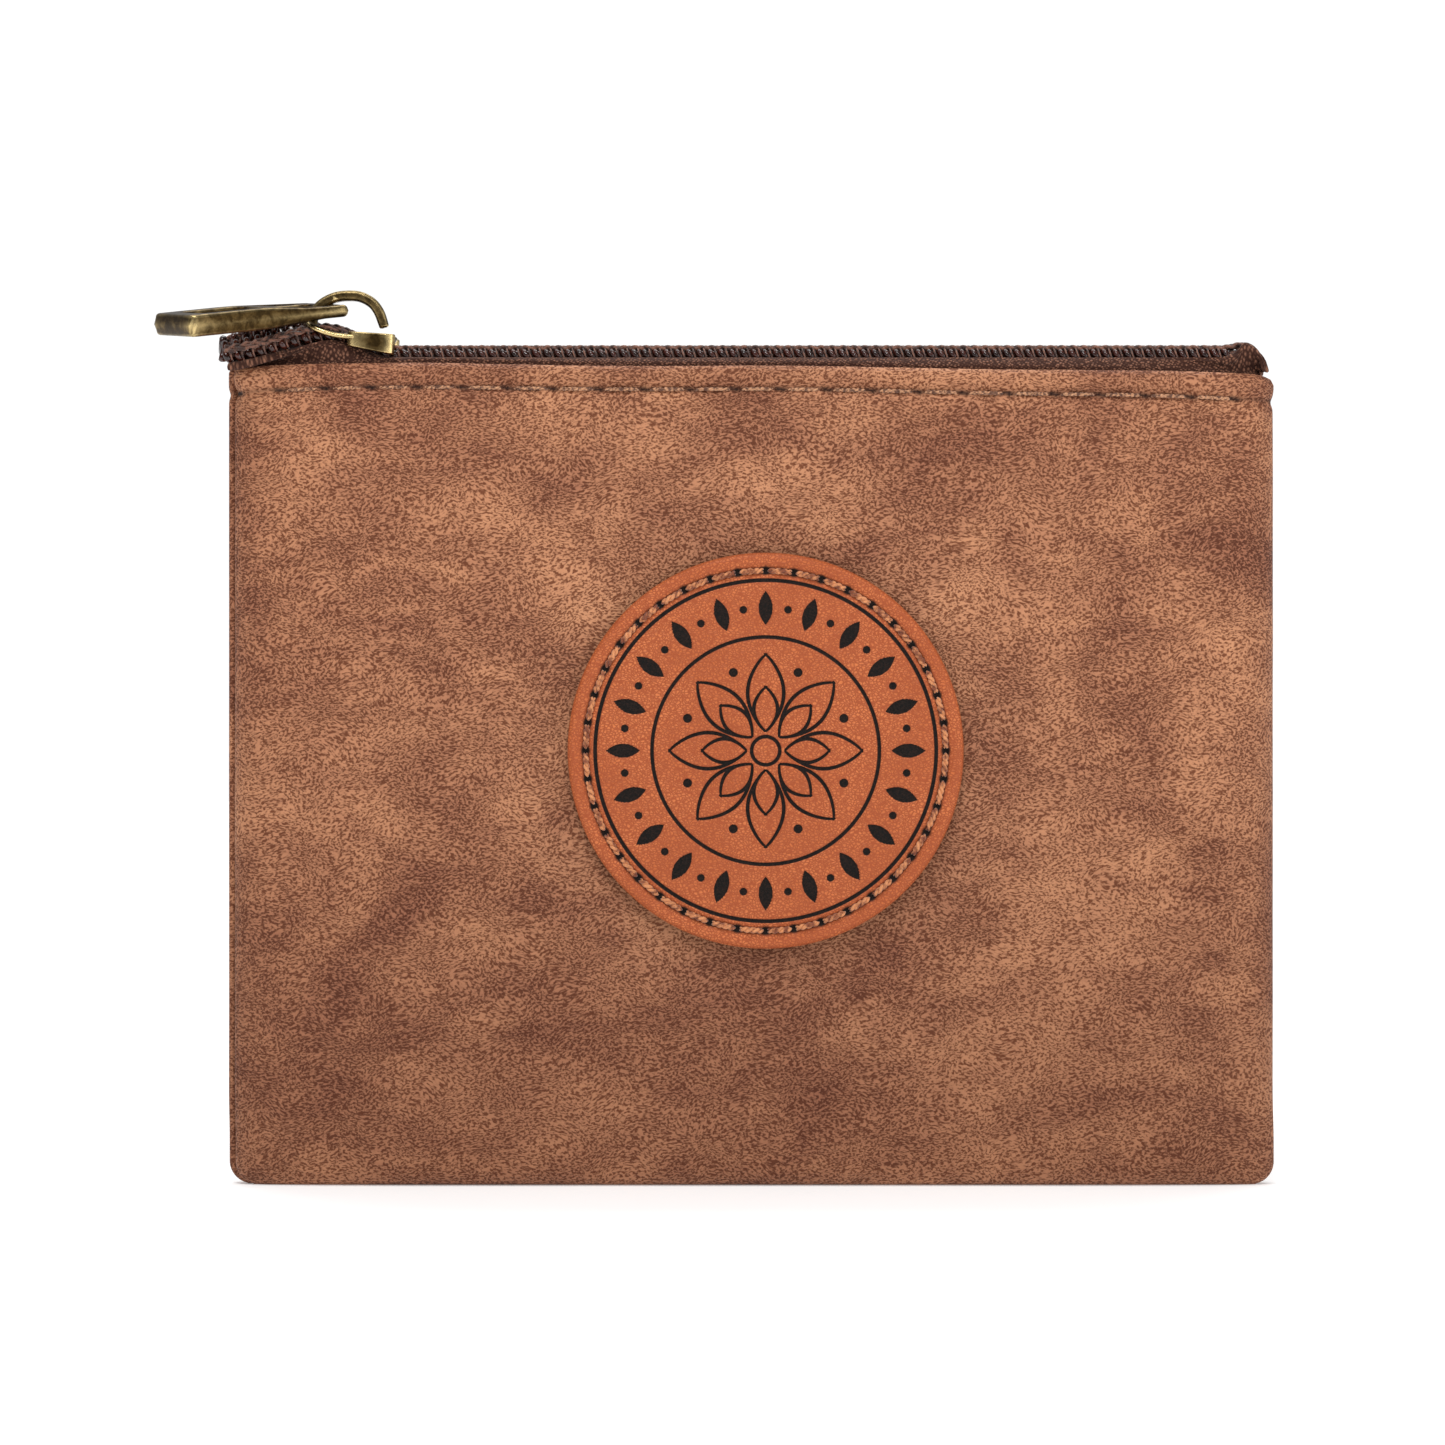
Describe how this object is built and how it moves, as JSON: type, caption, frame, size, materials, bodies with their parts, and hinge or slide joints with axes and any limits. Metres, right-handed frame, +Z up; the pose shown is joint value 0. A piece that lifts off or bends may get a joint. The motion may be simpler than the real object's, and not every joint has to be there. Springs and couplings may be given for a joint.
{
  "type": "zippered pouch",
  "caption": "Flat leatherette pouch with a coil zip along the top, a cast slider and pull, a lining and a round sewn-on patch.",
  "frame": {"origin": "middle of the flat base that the pouch stands on", "axes": "+X along the zip, from the parked slider towards the closed chain; +Y towards the back panel; +Z up"},
  "size_m": [0.1273, 0.0214, 0.1028],
  "materials": {
    "leatherette": "matt grained leatherette",
    "interlining": "non-woven padding",
    "lining_cloth": "plain woven lining",
    "zip_tape": "woven polyester tape",
    "nylon_coil": "glossy monofilament",
    "core_yarn": "knitted cord",
    "coil_yarn": "twisted polyester thread",
    "top_yarn": "twisted polyester thread",
    "seam_yarn": "twisted polyester thread",
    "antique_brass": "antique brass plating, worn bright on the edges",
    "patch_leather": "smooth tan leather, fine grain",
    "patch_yarn": "twisted polyester thread"
  },
  "bodies": {
    "pouch": {"back_panel": "leatherette", "back_interlining": "interlining", "back_lining": "lining_cloth", "back_zip_tape": "zip_tape", "back_coil": "nylon_coil", "back_core_cord": "core_yarn", "back_coil_thread": "coil_yarn", "back_top_stitching": "top_yarn", "shell_seam_stitching": "seam_yarn"},
    "front_wall": {"front_panel": "leatherette", "front_interlining": "interlining", "front_lining": "lining_cloth", "front_zip_tape": "zip_tape", "front_coil": "nylon_coil", "front_core_cord": "core_yarn", "front_coil_thread": "coil_yarn", "front_top_stitching": "top_yarn", "badge": "patch_leather", "badge_stitching": "patch_yarn"},
    "slider": {"slider_body": "antique_brass"},
    "pull": {"pull_tab": "antique_brass"}
  },
  "joints": [
    {"name": "slider_travel", "type": "slide", "parent": "pouch", "child": "slider", "axis": [1, 0, 0], "range_m": [0, 0.095], "deforming": ["front_coil", "back_coil", "front_core_cord", "back_core_cord", "front_coil_thread", "back_coil_thread", "front_zip_tape", "back_zip_tape"]},
    {"name": "front_wall_open", "type": "hinge", "parent": "pouch", "child": "front_wall", "pos_m": [0, -0.0052, 0], "axis": [1, 0, 0], "range_deg": [0, 12], "deforming": ["shell_seam_stitching"]},
    {"name": "pull_swing", "type": "hinge", "parent": "slider", "child": "pull", "pos_m": [-0.0481, 0, 0.1005], "axis": [-0.5948, 0.7993, 0.0864], "range_deg": [0, 95]}
  ],
  "couplings": [
    {"joint": "front_wall_open", "follows": "slider_travel", "rad_per_m": 2.2}
  ]
}
